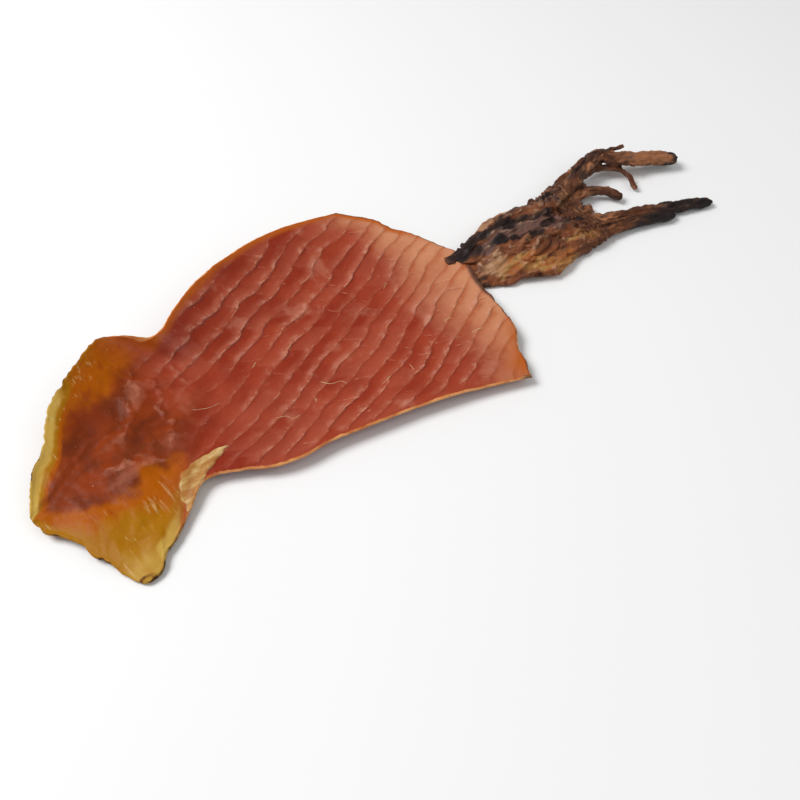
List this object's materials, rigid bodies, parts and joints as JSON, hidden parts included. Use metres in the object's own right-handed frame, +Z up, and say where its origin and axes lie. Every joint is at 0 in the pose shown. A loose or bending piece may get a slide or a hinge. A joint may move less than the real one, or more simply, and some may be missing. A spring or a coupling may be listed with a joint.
{
  "type": "dried squid",
  "caption": "Whole dried squid lying flat: a split, wrinkled mantle with tail fins, one side curling up, and a crumpled head with twisted arms.",
  "frame": {"origin": "middle of the squid's outline, on the surface it lies on", "axes": "+X from the tail tip to the arms, +Y towards the curled-up left side, +Z up"},
  "size_m": [0.3806, 0.1462, 0.0218],
  "materials": {
    "dried_flesh": "dry, wrinkled and faintly translucent, with a soft gloss"
  },
  "bodies": {
    "root": {"dried_squid": "dried_flesh"}
  },
  "joints": []
}
